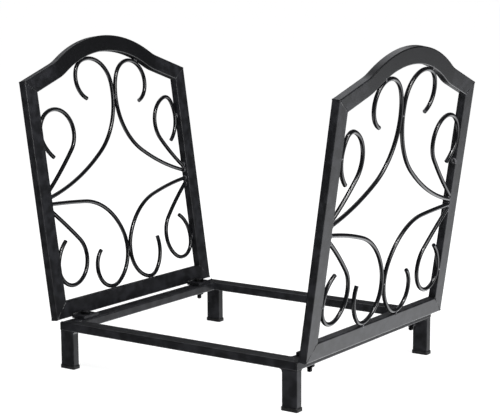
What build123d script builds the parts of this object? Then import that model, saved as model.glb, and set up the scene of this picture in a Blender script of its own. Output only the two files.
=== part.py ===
from build123d import *
import os
from math import cos, radians, sin, tan

# Welded steel log rack: two end panels that lean outwards, each a mitred tube frame
# filled with bent-rod scrollwork, bolted to a low base frame on four legs.
# Origin: on the floor, under the middle of the rack. +X to the right panel, -Y to the front.

# ---------------------------------------------------------------- driving dimensions (mm)
TUBE_WIDTH = 20.0
TUBE_THICKNESS = 10.0
TUBE_WALL = 1.2
TUBE_CORNER = 1.2
BORE_CORNER = 0.5
ROD_DIAMETER = 5.0

BASE_WIDTH = 341.4
BASE_DEPTH = 303.6
BASE_UNDERSIDE = 46.6
FOOT_HEIGHT = 4.5
FOOT_FLANGE = 1.0
FOOT_TOP_ROUND = 0.8
FOOT_SOLE_ROUND = 0.6
SPIGOT_CLEARANCE = 0.15
SPIGOT_LENGTH = 12.0
SPIGOT_TAPER = 2.0

PANEL_DEPTH = 307.0
PANEL_LEAN = 8.3
PANEL_REACH = 178.4
PANEL_LIFT = 57.2
CORNER_HEIGHT = 289.0
ARCH_SLOPE = 19.0
ARCH_CROWN_RADIUS = 155.5
ARCH_CROWN_HALF_ANGLE = 32.0
ARCH_VALLEY_RADIUS = 69.5

TAB_LENGTH = 26.0
TAB_THICKNESS = 4.0
TAB_INSET = 3.0
BOLT_SPACING = 229.0
BOLT_REACH = 163.0
BOLT_DIAMETER = 6.0
BOLT_HOLE_DIAMETER = 6.6
BOLT_HEAD_ACROSS_FLATS = 10.0
BOLT_HEAD_HEIGHT = 4.0
BOLT_END = 36.8
BOLT_TIP_CHAMFER = 0.6
WASHER_DIAMETER = 12.0
WASHER_THICKNESS = 1.2
NUT_HEIGHT = 3.2

# ---------------------------------------------------------------- sizes that follow
half_width = TUBE_WIDTH / 2
half_thickness = TUBE_THICKNESS / 2
half_depth = PANEL_DEPTH / 2
inner_edge = half_depth - TUBE_WIDTH
base_top = BASE_UNDERSIDE + TUBE_THICKNESS
rod_radius = ROD_DIAMETER / 2
rod_offset = half_thickness - rod_radius
tab_top = base_top + TAB_THICKNESS
slope = radians(ARCH_SLOPE)
lean = radians(PANEL_LEAN)
crown_angle = radians(ARCH_CROWN_HALF_ANGLE)

# Bend schedule of the eight scrolls of one panel. Each rod leaves the inner face of an
# upright at a height above the panel's foot and a heading above level, then takes bends
# of (radius, angle); positive angles turn upwards. The tall and wide rods of the two
# sides meet back to back. The panel's own "a" end is the end the tall pair leans to.
SCROLLS = {
    "upper_tall_a": (151.5, 15.4, ((291.4, 17.3), (83.4, 69.7), (54.8, 15.9), (28.8, 171.2), (24.7, 50.4))),
    "upper_small_a": (157.8, 40.3, ((292.9, 11.0), (33.8, 112.3), (12.1, 75.3), (40.8, 81.3))),
    "lower_wide_a": (
        140.4, -5.9,
        ((430.0, -9.4), (85.3, -48.2), (51.8, -28.6), (37.6, -72.9), (19.3, -59.2), (41.5, -65.0)),
    ),
    "lower_small_a": (133.0, -37.6, ((370.0, -9.0), (35.6, -101.0), (21.6, -110.6), (37.0, -71.2))),
    "upper_tall_b": (145.9, 11.5, ((271.3, 24.7), (91.3, 60.0), (38.9, 102.1), (20.4, 49.9), (28.3, 86.5))),
    "upper_small_b": (152.0, 38.4, ((504.0, 8.2), (30.7, 149.9), (27.4, 100.8), (54.5, 24.6))),
    "lower_wide_b": (138.9, -1.8, ((1007.1, -3.7), (77.7, -62.3), (49.2, -81.0), (24.3, -92.7), (27.8, -79.9))),
    "lower_small_b": (132.9, -39.9, ((663.9, -5.4), (32.3, -119.7), (22.7, -114.8), (45.0, -44.0))),
}


def panel_plane(side):
    """The mid-plane of an end panel: x along the rack's depth, y up the slope, z outwards.
    The left panel is the right one turned half a turn about the vertical."""
    return Plane(
        origin=(side * PANEL_REACH, 0, PANEL_LIFT),
        x_dir=(0, side, 0),
        z_dir=(side * cos(lean), 0, -sin(lean)),
    )


def local_plane(panel, origin, x_dir, z_dir):
    """A plane given in a panel's own coordinates."""
    start = panel.from_local_coords(Vector(*origin))
    across = panel.from_local_coords(Vector(*origin) + Vector(*x_dir)) - start
    along = panel.from_local_coords(Vector(*origin) + Vector(*z_dir)) - start
    return Plane(origin=start, x_dir=across, z_dir=along)


def tube_section():
    """The hollow tube's cross-section: its width along x and its thickness along y."""
    RectangleRounded(TUBE_WIDTH, TUBE_THICKNESS, TUBE_CORNER)
    bore = (TUBE_WIDTH - 2 * TUBE_WALL, TUBE_THICKNESS - 2 * TUBE_WALL)
    RectangleRounded(*bore, BORE_CORNER, mode=Mode.SUBTRACT)


def walk(start, heading, bends):
    """Yields each arc of a bent rod as three points. A positive angle turns left."""
    x, y = start
    heading = radians(heading)
    for radius, angle in bends:
        turn = radians(angle)
        chord_heading = [heading + turn / 4, heading + turn / 2]
        reach = [2 * radius * sin(abs(turn) / 4), 2 * radius * sin(abs(turn) / 2)]
        middle, end = (
            (x + length * cos(way), y + length * sin(way))
            for length, way in zip(reach, chord_heading)
        )
        yield (x, y), middle, end
        x, y = end
        heading += turn


def finish(piece, name):
    """Labels a finished piece and writes it."""
    piece.label = name
    export_step(piece, f"parts/{name}.step")


os.makedirs("parts", exist_ok=True)

# ---------------------------------------------------------------- end panels
# A panel has two ends, -1 and 1, the sign of its own x there.
upright_reach = half_depth - half_width
mitre_fall = TUBE_WIDTH / cos(slope) - TUBE_WIDTH * tan(slope)
arch_start = (-upright_reach, CORNER_HEIGHT - mitre_fall / 2)
valley_run = ARCH_VALLEY_RADIUS * (sin(crown_angle) - sin(slope))
crown_run = ARCH_CROWN_RADIUS * sin(crown_angle)
straight_run = upright_reach - valley_run - crown_run
overrun = TUBE_WIDTH


def foot_mitre(panel, end):
    """The 45 degree joint at the foot of an upright; its normal points up the upright."""
    return local_plane(panel, (end * half_depth, 0, 0), (0, 0, 1), (end, 1, 0))


def corner_mitre(panel, end):
    """The joint of an upright and the arch's sloping end; its normal points into the arch."""
    corner = (end * half_depth, CORNER_HEIGHT, 0)
    return local_plane(panel, corner, (0, 0, 1), (-end * mitre_fall, TUBE_WIDTH, 0))


def make_upright(panel, end, name):
    section = local_plane(panel, (end * upright_reach, -overrun, 0), (1, 0, 0), (0, 1, 0))
    with BuildPart() as upright:
        with BuildSketch(section):
            tube_section()
        extrude(amount=CORNER_HEIGHT + 2 * overrun)
        split(bisect_by=foot_mitre(panel, end), keep=Keep.TOP)
        split(bisect_by=corner_mitre(panel, end), keep=Keep.BOTTOM)
    finish(upright.part, name)


def make_bottom_rail(panel, name):
    section = local_plane(panel, (-half_depth - overrun, half_width, 0), (0, 1, 0), (1, 0, 0))
    with BuildPart() as rail:
        with BuildSketch(section):
            tube_section()
        extrude(amount=PANEL_DEPTH + 2 * overrun)
        for end in (-1, 1):
            split(bisect_by=foot_mitre(panel, end), keep=Keep.BOTTOM)
    finish(rail.part, name)


def make_arch_rail(panel, name):
    rise = straight_run * tan(slope)
    back = (arch_start[0] - overrun, arch_start[1] - overrun * tan(slope))
    knee = (arch_start[0] + straight_run, arch_start[1] + rise)
    bends = (
        (ARCH_VALLEY_RADIUS, ARCH_CROWN_HALF_ANGLE - ARCH_SLOPE),
        (ARCH_CROWN_RADIUS, -2 * ARCH_CROWN_HALF_ANGLE),
        (ARCH_VALLEY_RADIUS, ARCH_CROWN_HALF_ANGLE - ARCH_SLOPE),
    )
    section = local_plane(panel, (*back, 0), (-sin(slope), cos(slope), 0), (cos(slope), sin(slope), 0))
    with BuildPart() as arch:
        with BuildLine(panel) as centre_line:
            Line(back, knee)
            for first, middle, last in walk(knee, ARCH_SLOPE, bends):
                ThreePointArc(first, middle, last)
            Line((-knee[0], knee[1]), (-back[0], back[1]))
        with BuildSketch(section):
            tube_section()
        sweep(path=centre_line.wire())
        for end in (-1, 1):
            split(bisect_by=corner_mitre(panel, end), keep=Keep.TOP)
    finish(arch.part, name)


def make_scroll(panel, shape, end, name):
    """One bent rod, welded by its straight start to an upright's inner face."""
    height, heading, bends = shape
    if end > 0:
        heading = 180 - heading
        bends = [(radius, -angle) for radius, angle in bends]
    start = (end * inner_edge, height)
    way = (cos(radians(heading)), sin(radians(heading)))
    tail = (start[0] - ROD_DIAMETER * way[0], start[1] - ROD_DIAMETER * way[1])
    rods = panel.offset(rod_offset)
    section = local_plane(rods, (*tail, 0), (0, 0, 1), (*way, 0))
    weld_face = local_plane(panel, (end * inner_edge, 0, 0), (0, 0, 1), (-end, 0, 0))
    with BuildPart() as scroll:
        with BuildLine(rods) as bent_line:
            Line(tail, start)
            for first, middle, last in walk(start, heading, bends):
                ThreePointArc(first, middle, last)
        with BuildSketch(section):
            Circle(rod_radius)
        sweep(path=bent_line.wire())
        split(bisect_by=weld_face, keep=Keep.TOP)
    finish(scroll.part, name)


for side, side_name in ((1, "right"), (-1, "left")):
    panel = panel_plane(side)
    make_bottom_rail(panel, f"{side_name}_bottom_rail")
    make_arch_rail(panel, f"{side_name}_arch_rail")
    for end in (-1, 1):
        place = "front" if end * side < 0 else "rear"
        make_upright(panel, end, f"{side_name}_{place}_upright")
        for shape_name, shape in SCROLLS.items():
            kind, _, shape_end = shape_name.rpartition("_")
            if shape_end == ("a" if end < 0 else "b"):
                make_scroll(panel, shape, end, f"{side_name}_{place}_{kind}_scroll")

# ---------------------------------------------------------------- base frame
rail_middle = BASE_UNDERSIDE + half_thickness


def make_base_rail(direction, length, distance, holes, name):
    """A rail lying flat along a side of the base frame, mitred at both corners."""
    across = Vector(-direction.Y, direction.X, 0)
    section = Plane(
        origin=across * (half_width - distance) - direction * (length / 2) + Vector(0, 0, rail_middle),
        x_dir=across,
        z_dir=direction,
    )
    with BuildPart() as rail:
        with BuildSketch(section):
            tube_section()
        extrude(amount=length)
        for end in (-1, 1):
            outer_corner = across * -distance + direction * (end * length / 2)
            mitre = Plane(origin=outer_corner, z_dir=-across - direction * end)
            split(bisect_by=mitre, keep=Keep.TOP)
        if holes:
            with BuildSketch(Plane.XY.offset(BASE_UNDERSIDE)):
                with Locations(*holes):
                    Circle(BOLT_HOLE_DIAMETER / 2)
            extrude(amount=TUBE_THICKNESS, mode=Mode.SUBTRACT)
    finish(rail.part, name)


bolt_places = {
    side: [(side * BOLT_REACH, end * BOLT_SPACING / 2) for end in (-1, 1)]
    for side in (-1, 1)
}
make_base_rail(Vector(1, 0, 0), BASE_WIDTH, BASE_DEPTH / 2, [], "base_front_rail")
make_base_rail(Vector(-1, 0, 0), BASE_WIDTH, BASE_DEPTH / 2, [], "base_rear_rail")
make_base_rail(Vector(0, 1, 0), BASE_DEPTH, BASE_WIDTH / 2, bolt_places[1], "base_right_rail")
make_base_rail(Vector(0, -1, 0), BASE_DEPTH, BASE_WIDTH / 2, bolt_places[-1], "base_left_rail")

leg_x = BASE_WIDTH / 2 - half_width
leg_y = BASE_DEPTH / 2 - half_thickness
foot_sizes = (TUBE_WIDTH + 2 * FOOT_FLANGE, TUBE_THICKNESS + 2 * FOOT_FLANGE)
spigot_inset = TUBE_WALL + SPIGOT_CLEARANCE
spigot_sizes = (TUBE_WIDTH - 2 * spigot_inset, TUBE_THICKNESS - 2 * spigot_inset)


def make_leg(x, y, name):
    with BuildPart() as leg:
        with BuildSketch(Plane.XY.offset(FOOT_HEIGHT)):
            with Locations((x, y)):
                tube_section()
        extrude(amount=BASE_UNDERSIDE - FOOT_HEIGHT)
    finish(leg.part, name)


def make_foot(x, y, name):
    """A plastic plug: a rounded flange under the leg and a tapered spigot inside it."""
    with BuildPart() as foot:
        with BuildSketch():
            with Locations((x, y)):
                RectangleRounded(*foot_sizes, TUBE_CORNER + FOOT_FLANGE)
        extrude(amount=FOOT_HEIGHT)
        fillet(foot.faces().filter_by(Axis.Z).sort_by(Axis.Z)[-1].edges(), FOOT_TOP_ROUND)
        fillet(foot.faces().filter_by(Axis.Z).sort_by(Axis.Z)[0].edges(), FOOT_SOLE_ROUND)
        with BuildSketch(Plane.XY.offset(FOOT_HEIGHT)):
            with Locations((x, y)):
                Rectangle(*spigot_sizes)
        extrude(amount=SPIGOT_LENGTH, taper=SPIGOT_TAPER)
    finish(foot.part, name)


for side, side_name in ((1, "right"), (-1, "left")):
    for end, place in ((-1, "front"), (1, "rear")):
        make_leg(side * leg_x, end * leg_y, f"{side_name}_{place}_leg")
        make_foot(side * leg_x, end * leg_y, f"{side_name}_{place}_foot")

# ---------------------------------------------------------------- bolted joint
# Each panel has two flat tabs welded to the inner face of its bottom rail. They lie on
# the base's side rail, and a bolt goes down through tab and rail to a washer and nut.
inner_face_foot = PANEL_REACH - half_thickness * cos(lean)
inner_face_level = PANEL_LIFT + half_thickness * sin(lean)


def inner_face_reach(level):
    """How far out the panel's inner face is at a height above the floor."""
    return inner_face_foot + (level - inner_face_level) * tan(lean)


def make_tab(side, y, name):
    tail = BASE_WIDTH / 2 - TUBE_WIDTH + TAB_INSET
    with BuildPart() as tab:
        with BuildSketch(Plane.XZ.offset(-y - TAB_LENGTH / 2)):
            with BuildLine():
                Polyline(
                    (side * tail, base_top),
                    (side * inner_face_reach(base_top), base_top),
                    (side * inner_face_reach(tab_top), tab_top),
                    (side * tail, tab_top),
                    close=True,
                )
            make_face()
        extrude(amount=TAB_LENGTH)
        with BuildSketch(Plane.XY.offset(base_top)):
            with Locations((side * BOLT_REACH, y)):
                Circle(BOLT_HOLE_DIAMETER / 2)
        extrude(amount=TAB_THICKNESS, mode=Mode.SUBTRACT)
    finish(tab.part, name)


for side, side_name in ((1, "right"), (-1, "left")):
    for end, place in ((-1, "front"), (1, "rear")):
        make_tab(side, end * BOLT_SPACING / 2, f"{side_name}_{place}_tab")

all_bolts = bolt_places[1] + bolt_places[-1]
washer_level = BASE_UNDERSIDE - WASHER_THICKNESS
nut_level = washer_level - NUT_HEIGHT

with BuildPart() as bolts:
    with BuildSketch(Plane.XY.offset(tab_top)):
        with Locations(*all_bolts):
            RegularPolygon(BOLT_HEAD_ACROSS_FLATS / 2, 6, major_radius=False)
    extrude(amount=BOLT_HEAD_HEIGHT)
    with BuildSketch(Plane.XY.offset(BOLT_END)):
        with Locations(*all_bolts):
            Circle(BOLT_DIAMETER / 2)
    extrude(amount=tab_top - BOLT_END)
    tips = bolts.faces().filter_by(Axis.Z).group_by(Axis.Z)[0]
    chamfer(tips.edges(), BOLT_TIP_CHAMFER)
finish(bolts.part, "panel_bolts")

with BuildPart() as washers:
    with BuildSketch(Plane.XY.offset(washer_level)):
        with Locations(*all_bolts):
            Circle(WASHER_DIAMETER / 2)
            Circle(BOLT_HOLE_DIAMETER / 2, mode=Mode.SUBTRACT)
    extrude(amount=WASHER_THICKNESS)
finish(washers.part, "panel_washers")

with BuildPart() as nuts:
    with BuildSketch(Plane.XY.offset(nut_level)):
        with Locations(*all_bolts):
            RegularPolygon(BOLT_HEAD_ACROSS_FLATS / 2, 6, major_radius=False)
            Circle(BOLT_DIAMETER / 2, mode=Mode.SUBTRACT)
    extrude(amount=NUT_HEIGHT)
finish(nuts.part, "panel_nuts")
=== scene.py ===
import math

import bmesh
import bpy
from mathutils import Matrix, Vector, noise
from mathutils.bvhtree import BVHTree
from mathutils.kdtree import KDTree


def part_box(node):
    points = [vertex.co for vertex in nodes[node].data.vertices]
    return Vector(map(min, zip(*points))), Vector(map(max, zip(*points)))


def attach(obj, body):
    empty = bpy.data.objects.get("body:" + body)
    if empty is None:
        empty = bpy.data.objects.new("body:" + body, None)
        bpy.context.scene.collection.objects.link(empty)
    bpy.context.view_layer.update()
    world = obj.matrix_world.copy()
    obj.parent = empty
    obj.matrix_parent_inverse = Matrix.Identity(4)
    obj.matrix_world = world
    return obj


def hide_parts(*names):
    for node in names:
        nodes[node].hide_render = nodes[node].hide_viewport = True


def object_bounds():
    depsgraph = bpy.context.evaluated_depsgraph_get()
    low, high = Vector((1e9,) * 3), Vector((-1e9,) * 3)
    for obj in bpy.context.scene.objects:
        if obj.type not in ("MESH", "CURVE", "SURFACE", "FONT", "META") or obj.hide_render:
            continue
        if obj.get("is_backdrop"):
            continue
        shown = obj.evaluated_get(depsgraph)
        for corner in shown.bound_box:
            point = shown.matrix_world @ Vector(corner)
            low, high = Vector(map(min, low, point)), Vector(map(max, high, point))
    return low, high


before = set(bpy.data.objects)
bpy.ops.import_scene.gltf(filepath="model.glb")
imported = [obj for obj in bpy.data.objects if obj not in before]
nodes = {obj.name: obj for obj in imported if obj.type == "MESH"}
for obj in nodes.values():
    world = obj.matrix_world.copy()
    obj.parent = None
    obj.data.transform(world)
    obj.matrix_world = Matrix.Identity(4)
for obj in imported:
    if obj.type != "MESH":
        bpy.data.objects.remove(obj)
cad_low, cad_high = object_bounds()

MM = 0.001
UP = Vector((0.0, 0.0, 1.0))
SIDES = {"right": 1, "left": -1}
PLACES = {"front": -1, "rear": 1}

# ------------------------------------------------------------------ camera
CAMERA_TARGET = Vector((0.07506, 0.0, 0.180))
CAMERA_DISTANCE = 1.7628
CAMERA_AZIMUTH = math.radians(33.33)
CAMERA_ELEVATION = math.radians(9.69)
SENSOR_WIDTH = 36.0
LENS = 107.15
SHIFT_X = -0.10
SHIFT_Y = 0.03
CLIP_START = 0.01
CLIP_END = 100.0

camera = bpy.data.objects.new("camera", bpy.data.cameras.new("camera"))
bpy.context.collection.objects.link(camera)
back = Vector(
    (
        math.sin(CAMERA_AZIMUTH) * math.cos(CAMERA_ELEVATION),
        -math.cos(CAMERA_AZIMUTH) * math.cos(CAMERA_ELEVATION),
        math.sin(CAMERA_ELEVATION),
    )
)
camera.location = CAMERA_TARGET + back * CAMERA_DISTANCE
camera.rotation_mode = "QUATERNION"
camera.rotation_quaternion = (-back).to_track_quat("-Z", "Y")
camera.data.sensor_width = SENSOR_WIDTH
camera.data.lens = LENS
camera.data.shift_x = SHIFT_X
camera.data.shift_y = SHIFT_Y
camera.data.clip_start = CLIP_START
camera.data.clip_end = CLIP_END
bpy.context.scene.camera = camera

# ------------------------------------------------------------------ studio
bpy.context.scene.view_settings.view_transform = "Standard"
FILL_LIGHT = 0.45
DARK_STUDIO = 0.03
STUDIO_TINT = (0.97, 0.98, 1.0, 1.0)
WHITE = (1.0, 1.0, 1.0, 1.0)

# The sweeps' ranges run from no glow to full glow. A direction's share toward
# GLOW_DIRECTION is its facing, and its Z is its height.
GLOW_DIRECTION = (0.50, 0.866, 0.0)
GLOW_STRENGTH = 1.68
GROUND_SHARE = 0.9
NEAR_SIDE = (0.28, 0.62)
NEAR_LOWNESS = (-0.12, -0.38)
NEAR_GROUND = (-0.40, -0.54)
FAR_SIDE = (-0.28, -0.62)
FAR_DEPTH = (-0.43, -0.62)

world = bpy.data.worlds.new("studio")
bpy.context.scene.world = world
world.use_nodes = True
air = world.node_tree
air.nodes.clear()


def air_node(kind, inputs=(), **values):
    """A node of the world's shader. Its inputs are sockets to link, plain values or None."""
    node = air.nodes.new(kind)
    for key, value in values.items():
        setattr(node, key, value)
    for index, value in enumerate(inputs):
        if isinstance(value, bpy.types.NodeSocket):
            air.links.new(value, node.inputs[index])
        elif value is not None:
            node.inputs[index].default_value = value
    return node


def air_math(operation, *inputs):
    return air_node("ShaderNodeMath", inputs, operation=operation).outputs[0]


def smooth_range(source, low, high):
    inputs = (source, low, high, 0.0, 1.0)
    node = air_node("ShaderNodeMapRange", inputs, interpolation_type="SMOOTHSTEP")
    return node.outputs["Result"]


# Gloss sees a dark studio with two pale sweeps: one low down behind the rack's right
# side, brighter toward the ground, and a deeper one opposite it. Diffuse rays see an
# even fill, and the camera sees white.
ray_direction = air_node("ShaderNodeTexCoord").outputs["Generated"]
ray_height = air_node("ShaderNodeSeparateXYZ", (ray_direction,)).outputs["Z"]
towards_glow = air_node(
    "ShaderNodeVectorMath", (ray_direction, GLOW_DIRECTION), operation="DOT_PRODUCT"
).outputs["Value"]
near_side = smooth_range(towards_glow, *NEAR_SIDE)
near_lowness = smooth_range(ray_height, *NEAR_LOWNESS)
near_ground = smooth_range(ray_height, *NEAR_GROUND)
near_depth = air_math("MULTIPLY_ADD", near_ground, GROUND_SHARE, near_lowness)
far_side = smooth_range(towards_glow, *FAR_SIDE)
far_depth = smooth_range(ray_height, *FAR_DEPTH)
far_sweep = air_math("MULTIPLY", far_side, far_depth)
sweeps = air_math("MULTIPLY_ADD", near_side, near_depth, far_sweep)
glow = air_math("MULTIPLY_ADD", sweeps, GLOW_STRENGTH, DARK_STUDIO)
studio = air_node("ShaderNodeBackground", (STUDIO_TINT, glow)).outputs[0]
fill = air_node("ShaderNodeBackground", (WHITE, FILL_LIGHT)).outputs[0]
white = air_node("ShaderNodeBackground", (WHITE, 1.0)).outputs[0]
ray = air_node("ShaderNodeLightPath").outputs
lit = air_node("ShaderNodeMixShader", (ray["Is Diffuse Ray"], studio, fill)).outputs[0]
seen = air_node("ShaderNodeMixShader", (ray["Is Camera Ray"], lit, white)).outputs[0]
air_node("ShaderNodeOutputWorld", (seen,))


def area_light(name, place, aim, size, power, colour=(1.0, 1.0, 1.0)):
    """A rectangular lamp at a place, turned toward the aim."""
    lamp = bpy.data.lights.new(name, "AREA")
    lamp.shape = "RECTANGLE"
    lamp.size, lamp.size_y = size
    lamp.energy = power
    lamp.color = colour
    holder = bpy.data.objects.new(name, lamp)
    bpy.context.collection.objects.link(holder)
    holder.location = place
    holder.rotation_mode = "QUATERNION"
    holder.rotation_quaternion = (Vector(aim) - Vector(place)).to_track_quat("-Z", "Y")


area_light(
    "top_softbox",
    place=(-0.9, 1.0, 1.7),
    aim=(0.0, 0.0, 0.2),
    size=(1.7, 1.3),
    power=8,
    colour=(0.96, 0.97, 1.0),
)
area_light(
    "side_softbox", place=(1.7, -0.25, 1.0), aim=(0.1, 0.0, 0.2), size=(0.55, 1.2), power=24
)
area_light(
    "key_light", place=(0.95, -0.80, 1.75), aim=(0.15, 0.0, 0.2), size=(0.22, 0.22), power=13
)

# ------------------------------------------------------------------ materials


def new_material(name, colour, roughness, metallic=0.0):
    material = bpy.data.materials.new(name)
    material.use_nodes = True
    shader = material.node_tree.nodes["Principled BSDF"]
    shader.inputs["Base Color"].default_value = (*colour, 1.0)
    shader.inputs["Roughness"].default_value = roughness
    shader.inputs["Metallic"].default_value = metallic
    return material, material.node_tree, shader


def noise_node(tree, place, scale, detail):
    texture = tree.nodes.new("ShaderNodeTexNoise")
    texture.inputs["Scale"].default_value = scale
    texture.inputs["Detail"].default_value = detail
    tree.links.new(place.outputs["Object"], texture.inputs["Vector"])
    return texture.outputs["Fac"]


def ramp_node(tree, source, stops):
    """A colour ramp with the given (position, colour) stops."""
    ramp = tree.nodes.new("ShaderNodeValToRGB")
    points = ramp.color_ramp.elements
    while len(points) < len(stops):
        points.new(0.5)
    for point, (at, colour) in zip(points, stops):
        point.position = at
        point.color = (*colour, 1.0)
    tree.links.new(source, ramp.inputs["Fac"])
    return ramp.outputs["Color"]


def range_node(tree, source, low, high, to_low, to_high):
    span = tree.nodes.new("ShaderNodeMapRange")
    sockets = ("From Min", "From Max", "To Min", "To Max")
    for socket, value in zip(sockets, (low, high, to_low, to_high)):
        span.inputs[socket].default_value = value
    tree.links.new(source, span.inputs["Value"])
    return span.outputs["Result"]


def mix_node(tree, factor, first, second):
    """A colour mix. The first is a linked colour and the second a fixed one."""
    mix = tree.nodes.new("ShaderNodeMix")
    mix.data_type = "RGBA"
    tree.links.new(factor, mix.inputs["Factor"])
    tree.links.new(first, mix.inputs[6])
    mix.inputs[7].default_value = (*second, 1.0)
    return mix.outputs[2]


def multiply_node(tree, first, second):
    product = tree.nodes.new("ShaderNodeMath")
    product.operation = "MULTIPLY"
    tree.links.new(first, product.inputs[0])
    tree.links.new(second, product.inputs[1])
    return product.outputs[0]


def bump_node(tree, shader, relief, distance, strength, under=None):
    """A bump on the shader's normal, on top of the bump under it if there is one."""
    bump = tree.nodes.new("ShaderNodeBump")
    bump.inputs["Strength"].default_value = strength
    bump.inputs["Distance"].default_value = distance
    tree.links.new(relief, bump.inputs["Height"])
    if under is not None:
        tree.links.new(under, bump.inputs["Normal"])
    tree.links.new(bump.outputs["Normal"], shader.inputs["Normal"])
    return bump.outputs["Normal"]


CLOUD_SCALE = 22.0
GRAIN_SCALE = 420.0
EDGE_PATCH_SCALE = 95.0
SHARP_POINTINESS = (0.515, 0.56)
COAT_BUMP = 0.35
COAT_IOR = 1.52


def powder_coat(name, dark, light, roughness, peel, peel_depth, grain_depth, wear_and_highlight_gain):
    """Black powder coat: orange peel, slow changes of tone and gloss, lighter sharp edges: edge
    wear at a low gain, a painted highlight at a high gain.
    """
    rough_low, rough_high = roughness
    material, tree, shader = new_material(name, dark, rough_low)
    place = tree.nodes.new("ShaderNodeTexCoord")
    clouds = noise_node(tree, place, CLOUD_SCALE, 3.0)
    grain = noise_node(tree, place, GRAIN_SCALE, 2.0)
    tone = ramp_node(tree, clouds, ((0.32, dark), (0.68, light)))
    # Sharp edges get a lighter colour: edge wear on the tubes and rods, a painted highlight on the
    # weld beads, whose gain is high.
    edge = tree.nodes.new("ShaderNodeNewGeometry")
    sharp = range_node(tree, edge.outputs["Pointiness"], *SHARP_POINTINESS, 0.0, 1.0)
    edge_patches = range_node(tree, noise_node(tree, place, EDGE_PATCH_SCALE, 4.0), 0.42, 0.62, 0.15, 0.8)
    wear_and_highlight_mask = multiply_node(tree, sharp, edge_patches)
    wear_and_highlight_colour = tuple(value * wear_and_highlight_gain for value in light)
    tree.links.new(mix_node(tree, wear_and_highlight_mask, tone, wear_and_highlight_colour), shader.inputs["Base Color"])
    gloss = range_node(tree, grain, 0.3, 0.7, rough_low, rough_high)
    tree.links.new(gloss, shader.inputs["Roughness"])
    shader.inputs["IOR"].default_value = COAT_IOR
    waves = bump_node(tree, shader, noise_node(tree, place, peel, 1.5), peel_depth, COAT_BUMP)
    bump_node(tree, shader, grain, grain_depth, COAT_BUMP, waves)
    return material


tube_coat = powder_coat(
    "tube_powder_coat",
    dark=(0.0046, 0.0048, 0.0056),
    light=(0.0064, 0.0066, 0.0078),
    roughness=(0.31, 0.355),
    peel=700.0,
    peel_depth=0.000018,
    grain_depth=0.000006,
    wear_and_highlight_gain=3.2,
)
rod_coat = powder_coat(
    "rod_powder_coat",
    dark=(0.0042, 0.0044, 0.0052),
    light=(0.0056, 0.0058, 0.0070),
    roughness=(0.17, 0.20),
    peel=500.0,
    peel_depth=0.000005,
    grain_depth=0.000001,
    wear_and_highlight_gain=3.2,
)
# Painted highlight: the weld beads' coat is painted lighter than the tubes, and much lighter on
# their ridges, in place of the glints that light gives the beads.
weld_coat_painted_highlight = powder_coat(
    "weld_powder_coat_painted_highlight",
    dark=(0.012, 0.012, 0.013),
    light=(0.022, 0.022, 0.024),
    roughness=(0.22, 0.30),
    peel=1300.0,
    peel_depth=0.00002,
    grain_depth=0.00001,
    wear_and_highlight_gain=7.0,
)


def add_mottle(tree, shader, spots, stops, roughness, grain, depth, strength):
    """Spots that change the colour and the gloss, over a fine grain in the bump."""
    place = tree.nodes.new("ShaderNodeTexCoord")
    mottle = noise_node(tree, place, spots, 4.0)
    tree.links.new(ramp_node(tree, mottle, stops), shader.inputs["Base Color"])
    gloss = range_node(tree, mottle, 0.3, 0.7, *roughness)
    tree.links.new(gloss, shader.inputs["Roughness"])
    bump_node(tree, shader, noise_node(tree, place, grain, 2.0), depth, strength)


foot_plastic, foot_tree, foot_shader = new_material("foot_plastic", (0.008, 0.008, 0.009), 0.5)
add_mottle(
    foot_tree,
    foot_shader,
    spots=160.0,
    stops=((0.4, (0.007, 0.007, 0.008)), (0.75, (0.017, 0.017, 0.018))),
    roughness=(0.44, 0.62),
    grain=2600.0,
    depth=0.00003,
    strength=0.5,
)
black_oxide, oxide_tree, oxide_shader = new_material(
    "black_oxide_steel", (0.035, 0.036, 0.040), 0.34, 1.0
)
add_mottle(
    oxide_tree,
    oxide_shader,
    spots=260.0,
    stops=((0.35, (0.022, 0.023, 0.027)), (0.7, (0.070, 0.068, 0.070))),
    roughness=(0.27, 0.45),
    grain=3200.0,
    depth=0.00002,
    strength=0.4,
)

for name, node in nodes.items():
    if name.endswith("_scroll"):
        finish = rod_coat
    elif name.endswith("_foot"):
        finish = foot_plastic
    elif name.startswith("panel_"):
        finish = black_oxide
    else:
        finish = tube_coat
    for material_slot in node.material_slots:
        material_slot.material = finish

# ------------------------------------------------------------------ mesh helpers
BOX_MARGIN = 0.01 * MM


def inside(point):
    """The point, kept just inside the CAD model's box."""
    return Vector(
        tuple(
            min(max(value, low + BOX_MARGIN), high - BOX_MARGIN)
            for value, low, high in zip(point, cad_low, cad_high)
        )
    )


def add_grid(shape, rows, close_rows=False):
    """Skins rings of points. The ends are closed unless the rows join up."""
    rings = [[shape.verts.new(inside(point)) for point in row] for row in rows]
    count = len(rings[0])
    pairs = list(zip(rings, rings[1:]))
    if close_rows:
        pairs.append((rings[-1], rings[0]))
    for first, second in pairs:
        for i in range(count):
            j = (i + 1) % count
            shape.faces.new((first[i], first[j], second[j], second[i]))
    if not close_rows:
        shape.faces.new(list(reversed(rings[0])))
        shape.faces.new(rings[-1])


def piece_from(shape, name, material, angle=35.0):
    """The finished piece, riding the rack's one body. Edges over the angle stay sharp."""
    bmesh.ops.recalc_face_normals(shape, faces=shape.faces)
    mesh = bpy.data.meshes.new(name)
    shape.to_mesh(mesh)
    shape.free()
    mesh.materials.append(material)
    piece = bpy.data.objects.new(name, mesh)
    bpy.context.collection.objects.link(piece)
    mesh.shade_smooth()
    mesh.set_sharp_from_angle(angle=math.radians(angle))
    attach(piece, "root")
    return piece


def frame_of(direction, hint):
    """Two unit vectors square to a direction; the first is as near the hint as it can be."""
    direction = direction.normalized()
    first = hint - direction * hint.dot(direction)
    if first.length < 1e-6:
        first = direction.orthogonal()
    first.normalize()
    return first, direction.cross(first)


BEAD_SIDES = 12
SCALE_PITCH = 1.3 * MM
BEAD_UNEVENNESS = 0.18
UNEVENNESS_FREQUENCY = 900.0
END_STEEPNESS = 2.2
END_SIZE = 0.03


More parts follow.
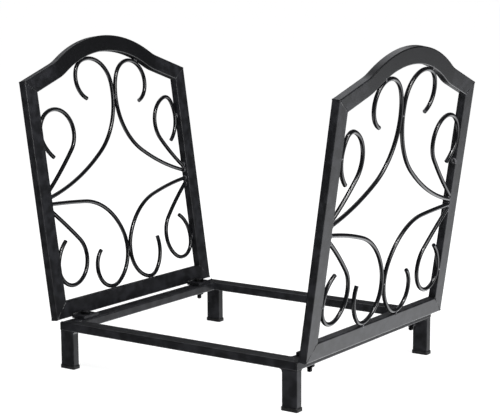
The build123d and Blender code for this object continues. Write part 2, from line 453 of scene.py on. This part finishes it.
def add_bead(
    shape, path, radius, squash=1.0, normal=UP, closed=False, ripple=0.10, pitch=SCALE_PITCH
):
    """A weld bead along a path, with the overlapping scales that a welder's passes leave."""
    rows = []
    travelled = 0.0
    last = len(path) - 1
    turns = [2 * math.pi * k / BEAD_SIDES for k in range(BEAD_SIDES)]
    for i, point in enumerate(path):
        before = path[i - 1] if closed or i > 0 else path[0]
        after = path[(i + 1) % len(path)] if closed or i < last else path[last]
        if i > 0:
            travelled += (point - path[i - 1]).length
        first, second = frame_of(after - before, normal)
        scale = 1.0 + ripple * math.sin(2 * math.pi * travelled / pitch)
        scale += BEAD_UNEVENNESS * noise.noise(point * UNEVENNESS_FREQUENCY)
        if not closed:
            from_end = min(1.0, min(i, last - i) / last * 2 * END_STEEPNESS)
            scale *= math.sqrt(max(END_SIZE, 1 - (1 - from_end) ** 2))
        rows.append(
            [
                point
                + first * (radius * squash * scale * math.cos(turn))
                + second * (radius * scale * math.sin(turn))
                for turn in turns
            ]
        )
    add_grid(shape, rows, close_rows=closed)


STRAIGHT_STEP = 0.3 * MM


def straight(start, end):
    """A straight path in even steps."""
    count = max(8, int((end - start).length / STRAIGHT_STEP))
    return [start.lerp(end, i / count) for i in range(count + 1)]


# ------------------------------------------------------------------ welds at the mitres
SHARED_GAP = 0.05 * MM
SAME_POINT = 0.02 * MM
RING_STEP = 0.45 * MM
MITRE_RADIUS = 1.10 * MM
MITRE_SINK = 1.05 * MM


def points_of(name):
    return [vertex.co.copy() for vertex in nodes[name].data.vertices]


def joint_points(first, second):
    """The points where two mitred tubes meet, in order round the joint's middle."""
    others = points_of(second)
    tree = KDTree(len(others))
    for i, point in enumerate(others):
        tree.insert(point, i)
    tree.balance()
    shared = []
    for point in points_of(first):
        meets = tree.find(point)[2] < SHARED_GAP
        if meets and all((point - p).length > SAME_POINT for p in shared):
            shared.append(point)
    middle = sum(shared, Vector()) / len(shared)
    far = max(shared, key=lambda p: (p - middle).length)
    axis_a = (far - middle).normalized()
    squares = [(p - middle).cross(axis_a) for p in shared]
    normal = max(squares, key=lambda v: v.length).normalized()
    axis_b = normal.cross(axis_a)
    polar = sorted(
        (math.atan2((p - middle).dot(axis_b), (p - middle).dot(axis_a)), (p - middle).length, i)
        for i, p in enumerate(shared)
    )
    return middle, normal, [shared[i] for _, _, i in polar]


def outer_ring(middle, normal, points):
    """The convex outline of the points in their own plane."""
    axis_a = (points[0] - middle).normalized()
    axis_b = normal.cross(axis_a)
    flat = sorted(
        ((p - middle).dot(axis_a), (p - middle).dot(axis_b), i) for i, p in enumerate(points)
    )

    def half(sequence):
        chain = []
        for item in sequence:
            while len(chain) > 1:
                (ax, ay, _), (bx, by, _) = chain[-2:]
                if (bx - ax) * (item[1] - ay) - (by - ay) * (item[0] - ax) > 0:
                    break
                chain.pop()
            chain.append(item)
        return chain[:-1]

    hull = half(flat) + half(reversed(flat))
    return [points[i] for _, _, i in hull]


def resample(ring, step):
    """The closed outline again, in even steps."""
    result = []
    for a, b in zip(ring, ring[1:] + ring[:1]):
        count = max(1, round((b - a).length / step))
        result += [a.lerp(b, i / count) for i in range(count)]
    return result


def add_mitre_weld(shape, first, second):
    """A bead round a mitre, sunk so that it stands just proud of the tubes."""
    middle, normal, points = joint_points(first, second)
    ring = resample(outer_ring(middle, normal, points), RING_STEP)
    path = [point + (middle - point).normalized() * MITRE_SINK for point in ring]
    add_bead(shape, path, MITRE_RADIUS, normal=normal, closed=True, ripple=0.05)


shape = bmesh.new()
for side in SIDES:
    for place in PLACES:
        add_mitre_weld(shape, f"{side}_{place}_upright", f"{side}_arch_rail")
        add_mitre_weld(shape, f"{side}_{place}_upright", f"{side}_bottom_rail")
        add_mitre_weld(shape, f"base_{place}_rail", f"base_{side}_rail")
piece_from(shape, "mitre_welds", tube_coat)

# ------------------------------------------------------------------ welds on the scrolls
SCROLL_KINDS = ("upper_tall", "upper_small", "lower_wide", "lower_small")
START_GAP = 0.03 * MM
START_REACH = 30 * MM
START_POINTS = 40
START_HALF_HEIGHT = 2.7 * MM
START_HALF_WIDTH = 2.45 * MM
START_RADIUS = 1.15 * MM
START_PITCH = 2.0 * MM
CONTACT_GAP = 0.8 * MM
CLEAR_GAP = 0.01 * MM
CONTACT_POINTS = 80
SEAM_LENGTH = 7.0 * MM
SEAM_RADIUS = 1.3 * MM
SEAM_DEPTH = 1.2 * MM
TICK_RADIUS = 1.25 * MM
TICK_LIFT = 2.1 * MM
TICK_BEFORE = 2.6 * MM
TICK_BEYOND = 3.0 * MM


def surface_of(name):
    mesh = nodes[name].data
    return BVHTree.FromPolygons([v.co for v in mesh.vertices], [p.vertices for p in mesh.polygons])


surfaces = {
    name: surface_of(name)
    for name in nodes
    if name.endswith(("_upright", "_rail", "_scroll")) and not name.startswith("base_")
}


def closest(name, other, skip):
    """The gap and the two points where one node comes nearest to another.

    Points near the place to skip aren't looked at.
    """
    best = (1.0, None, None)
    for point in points_of(name):
        if skip is not None and (point - skip).length < START_REACH:
            continue
        found, _, _, distance = surfaces[other].find_nearest(point)
        if distance is not None and distance < best[0]:
            best = (distance, point, found)
    return best


def rod_start(name, upright):
    """The middle of the rod's points that lie on the upright's face.

    That is the rod's end, but not on right_rear_upper_small_scroll and
    left_front_upper_small_scroll. They lie on the upright at a second place too, so the
    middle falls between the two: their ring bead sits about 40 mm above the rod's end,
    their contact weld sits on the rod's end, and the second place has no bead.
    """
    near = [p for p in points_of(name) if surfaces[upright].find_nearest(p)[3] < START_GAP]
    return sum(near, Vector()) / len(near)


def outward_of(side):
    """The panel's outward normal, from the largest flat face of its bottom rail."""
    mesh = nodes[f"{side}_bottom_rail"].data
    faces = [p for p in mesh.polygons if p.normal.x * SIDES[side] > 0.9]
    return max(faces, key=lambda p: p.area).normal.copy()


def add_start_weld(shape, start, outward):
    """A ring bead round the place that rod_start gives."""
    turns = [2 * math.pi * i / START_POINTS for i in range(START_POINTS)]
    circle = [
        start
        + UP * (START_HALF_HEIGHT * math.sin(turn))
        + outward * (START_HALF_WIDTH * math.cos(turn))
        for turn in turns
    ]
    add_bead(
        shape,
        circle,
        START_RADIUS,
        normal=Vector((0, 1, 0)),
        closed=True,
        ripple=0.16,
        pitch=START_PITCH,
    )


def add_contact_weld(shape, name, other, outward, skip=None):
    """A seam on the inner side where two pieces nearly meet, and a tick across the outer side."""
    distance, point, found = closest(name, other, skip)
    if distance > CONTACT_GAP:
        return
    middle = (point + found) / 2
    near = sorted(points_of(name), key=lambda p: (p - middle).length)[:CONTACT_POINTS]
    spread = max(near, key=lambda p: (p - middle).length) - middle
    along = spread - outward * spread.dot(outward)
    across = outward.cross(along).normalized()
    toward = found - point
    if toward.length > CLEAR_GAP:
        toward -= outward * toward.dot(outward)
        across = toward.normalized()
        along = across.cross(outward)
    along.normalize()
    inner = middle - outward * SEAM_DEPTH
    half = along * (SEAM_LENGTH / 2)
    seam = straight(inner - half, inner + half)
    add_bead(shape, seam, SEAM_RADIUS, squash=0.8, normal=outward, ripple=0.12)
    outer = middle + outward * TICK_LIFT
    tick = straight(outer - across * TICK_BEFORE, outer + across * TICK_BEYOND)
    add_bead(shape, tick, TICK_RADIUS, squash=0.85, normal=outward)


shape = bmesh.new()
for side in SIDES:
    outward = outward_of(side)
    starts = {}
    for place in PLACES:
        for kind in SCROLL_KINDS:
            rod = f"{side}_{place}_{kind}_scroll"
            starts[rod] = rod_start(rod, f"{side}_{place}_upright")
            add_start_weld(shape, starts[rod], outward)
    for place in PLACES:
        for kind, tube in (
            ("upper_small", f"{side}_{place}_upright"),
            ("lower_small", f"{side}_{place}_upright"),
            ("upper_tall", f"{side}_arch_rail"),
            ("lower_wide", f"{side}_bottom_rail"),
        ):
            rod = f"{side}_{place}_{kind}_scroll"
            add_contact_weld(shape, rod, tube, outward, starts[rod])
    for kind in ("upper_tall", "lower_wide"):
        front, rear = (f"{side}_{place}_{kind}_scroll" for place in PLACES)
        add_contact_weld(shape, front, rear, outward)
# The scroll welds take the coat with the painted highlight.
piece_from(shape, "scroll_welds", weld_coat_painted_highlight, angle=60.0)

# ------------------------------------------------------------------ welds on the legs and tabs
FILLET_STEP = 0.5 * MM
FILLET_PITCH = 1.4 * MM
FILLET_RIPPLE = 0.05
FILLET_UNEVENNESS = 0.12
FILLET_FREQUENCY = 500.0
FILLET_BURY = 0.3 * MM
FILLET_ARC_STEPS = 6
FILLET_END_GAP = 1.0 * MM
FILLET_BESIDE_NARROW_FACE = 3.4 * MM
FILLET_BESIDE_WIDE_FACE = 2.4 * MM
TAB_BEAD_RADIUS = 1.6 * MM
TAB_BEAD_INSET = 0.3 * MM
TAB_BEAD_LIFT = 0.2 * MM
TAB_BEAD_END_GAP = 0.8 * MM


def add_fillet(shape, corner, along, out, down, length, size):
    """A concave fillet weld in the inner corner under a rail."""
    count = max(6, int(length / FILLET_STEP))
    rows = []
    for i in range(count + 1):
        place = corner + along * (length * (i / count - 0.5))
        phase = 2 * math.pi * i * length / count / FILLET_PITCH
        swell = 1.0 + FILLET_RIPPLE * math.sin(phase)
        swell += FILLET_UNEVENNESS * noise.noise(place * FILLET_FREQUENCY)
        reach = size * swell
        behind = place - out * FILLET_BURY
        row = [behind - down * FILLET_BURY, behind + down * reach]
        for k in range(FILLET_ARC_STEPS + 1):
            turn = math.pi / 2 * k / FILLET_ARC_STEPS
            sideways = out * (reach * (1 - math.cos(turn)))
            row.append(place + sideways + down * (reach * (1 - math.sin(turn))))
        row.append(place + out * reach - down * FILLET_BURY)
        rows.append(row)
    add_grid(shape, rows)


shape = bmesh.new()
for side, sign_x in SIDES.items():
    for place, sign_y in PLACES.items():
        low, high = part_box(f"{side}_{place}_leg")
        centre = (low + high) / 2
        half_x = (high.x - low.x) / 2
        half_y = (high.y - low.y) / 2
        add_fillet(
            shape,
            corner=Vector((centre.x - sign_x * half_x, centre.y, high.z)),
            along=Vector((0, 1, 0)),
            out=Vector((-sign_x, 0, 0)),
            down=-UP,
            length=2 * half_y - FILLET_END_GAP,
            size=FILLET_BESIDE_NARROW_FACE,
        )
        add_fillet(
            shape,
            corner=Vector((centre.x, centre.y - sign_y * half_y, high.z)),
            along=Vector((1, 0, 0)),
            out=Vector((0, -sign_y, 0)),
            down=-UP,
            length=2 * half_x - FILLET_END_GAP,
            size=FILLET_BESIDE_WIDE_FACE,
        )
piece_from(shape, "leg_welds", tube_coat, angle=50.0)

shape = bmesh.new()
for side, sign_x in SIDES.items():
    for place in PLACES:
        low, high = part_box(f"{side}_{place}_tab")
        x = (high.x if sign_x > 0 else low.x) - sign_x * TAB_BEAD_INSET
        z = high.z + TAB_BEAD_LIFT
        start = Vector((x, low.y + TAB_BEAD_END_GAP, z))
        end = Vector((x, high.y - TAB_BEAD_END_GAP, z))
        add_bead(shape, straight(start, end), TAB_BEAD_RADIUS)
piece_from(shape, "tab_welds", tube_coat, angle=60.0)

# ------------------------------------------------------------------ bolts, washers and nuts
HEX_POINTS = 72
CHAMFER_DEPTH = 0.09
CHAMFER_SLOPE = 1.9
CORNER_REACH = 0.578
CHAMFER_PARTS = (0.0, 0.25, 0.5, 0.75, 1.0)
SHANK_RADIUS = 3.0 * MM
THREAD_PITCH = 1.0 * MM
THREAD_DEPTH = 0.5 * MM
THREAD_LEAD = 1.0 * MM
THREAD_TAPER = 0.8 * MM
THREAD_POINTS = 40
STEPS_PER_TURN = 8
WASHER_BORE_RADIUS = 3.3 * MM
WASHER_EDGE = 0.2 * MM
WASHER_POINTS = 48


def quarter_boxes(name):
    """The box of each of a node's four copies, one in each quarter of the rack."""
    groups = {}
    for point in points_of(name):
        groups.setdefault((point.x > 0, point.y > 0), []).append(point)
    boxes = []
    for points in groups.values():
        low = Vector(min(p[i] for p in points) for i in range(3))
        high = Vector(max(p[i] for p in points) for i in range(3))
        boxes.append((low, high))
    return boxes


def ring_at(centre, z, radius_at, count):
    """A level ring whose radius depends on the angle."""
    ring = []
    for k in range(count):
        angle = 2 * math.pi * k / count
        radius = radius_at(angle)
        x = centre.x + radius * math.cos(angle)
        y = centre.y + radius * math.sin(angle)
        ring.append(Vector((x, y, z)))
    return ring


def hex_rings(low, high, bottom, top, chamfer_low, chamfer_high):
    """Rings of a hexagon whose corners are turned off in a cone at one end or both.

    Low and high are the corners of its box, and the rings run from bottom to top.
    """
    centre = (low + high) / 2
    flats = min(high.y - low.y, high.x - low.x)
    depth = CHAMFER_DEPTH * flats

    def ring(z, part, chamfered):
        cut = (1 - part) * depth * CHAMFER_SLOPE if chamfered else 0.0

        def radius(angle):
            turned = (angle + math.pi / 6) % (math.pi / 3) - math.pi / 6
            return min(flats / 2 / math.cos(turned), flats * CORNER_REACH - cut)

        return ring_at(centre, z, radius, HEX_POINTS)

    lower = [ring(bottom + part * depth, part, chamfer_low) for part in CHAMFER_PARTS]
    upper = [ring(top - part * depth, part, chamfer_high) for part in reversed(CHAMFER_PARTS)]
    return lower + upper


def thread_rings(centre, bottom, top):
    """A right-hand thread from bottom to top, tapered off at its lower tip."""
    rows = []
    steps = int((top - bottom) / (THREAD_PITCH / STEPS_PER_TURN))
    for i in range(steps + 1):
        z = bottom + (top - bottom) * i / steps

        def radius(angle, z=z):
            wave = 0.5 + 0.5 * math.cos(2 * math.pi * (z / THREAD_PITCH) - angle)
            taper = max(0.0, 1 - (z - bottom) / THREAD_LEAD) * THREAD_TAPER
            return SHANK_RADIUS - THREAD_DEPTH * wave - taper

        rows.append(ring_at(centre, z, radius, THREAD_POINTS))
    return rows


shape = bmesh.new()
tab_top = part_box("right_front_tab")[1].z
for low, high in quarter_boxes("panel_bolts"):
    add_grid(shape, hex_rings(low, high, tab_top, high.z, False, True))
    add_grid(shape, thread_rings((low + high) / 2, low.z, tab_top))
bolts = piece_from(shape, "hex_bolts", black_oxide, angle=28.0)
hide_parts("panel_bolts")

shape = bmesh.new()
for low, high in quarter_boxes("panel_nuts"):
    add_grid(shape, hex_rings(low, high, low.z, high.z, True, True))
nuts = piece_from(shape, "hex_nuts", black_oxide, angle=28.0)
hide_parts("panel_nuts")

shape = bmesh.new()
for low, high in quarter_boxes("panel_washers"):
    centre = (low + high) / 2
    outer = (high.x - low.x) / 2
    profile = (
        (WASHER_BORE_RADIUS, low.z + WASHER_EDGE),
        (WASHER_BORE_RADIUS + WASHER_EDGE, low.z),
        (outer - WASHER_EDGE, low.z),
        (outer, low.z + WASHER_EDGE),
        (outer, high.z - WASHER_EDGE),
        (outer - WASHER_EDGE, high.z),
        (WASHER_BORE_RADIUS + WASHER_EDGE, high.z),
        (WASHER_BORE_RADIUS, high.z - WASHER_EDGE),
    )
    rows = [ring_at(centre, z, lambda angle, r=r: r, WASHER_POINTS) for r, z in profile]
    add_grid(shape, rows, close_rows=True)
washers = piece_from(shape, "flat_washers", black_oxide, angle=28.0)
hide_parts("panel_washers")

# ------------------------------------------------------------------ floor
FLOOR_RADIUS = 30.0
FLOOR_GREY = (0.45, 0.45, 0.45)
FLOOR_GLOW = 0.80


def disc(name, radius, height, material):
    """A flat round sheet of the stage."""
    shape = bmesh.new()
    bmesh.ops.create_circle(shape, cap_ends=True, segments=128, radius=radius)
    mesh = bpy.data.meshes.new(name)
    shape.to_mesh(mesh)
    shape.free()
    mesh.materials.append(material)
    item = bpy.data.objects.new(name, mesh)
    bpy.context.collection.objects.link(item)
    item.location.z = height
    item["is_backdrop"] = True
    return item


floor_finish, _, floor_shader = new_material("floor_finish", FLOOR_GREY, 0.9)
floor_shader.inputs["Specular IOR Level"].default_value = 0.0
floor_shader.inputs["Emission Color"].default_value = WHITE
floor_shader.inputs["Emission Strength"].default_value = FLOOR_GLOW
floor = disc("floor", FLOOR_RADIUS, 0.0, floor_finish)
floor.visible_glossy = False

# ------------------------------------------------------------------ size
low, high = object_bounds()
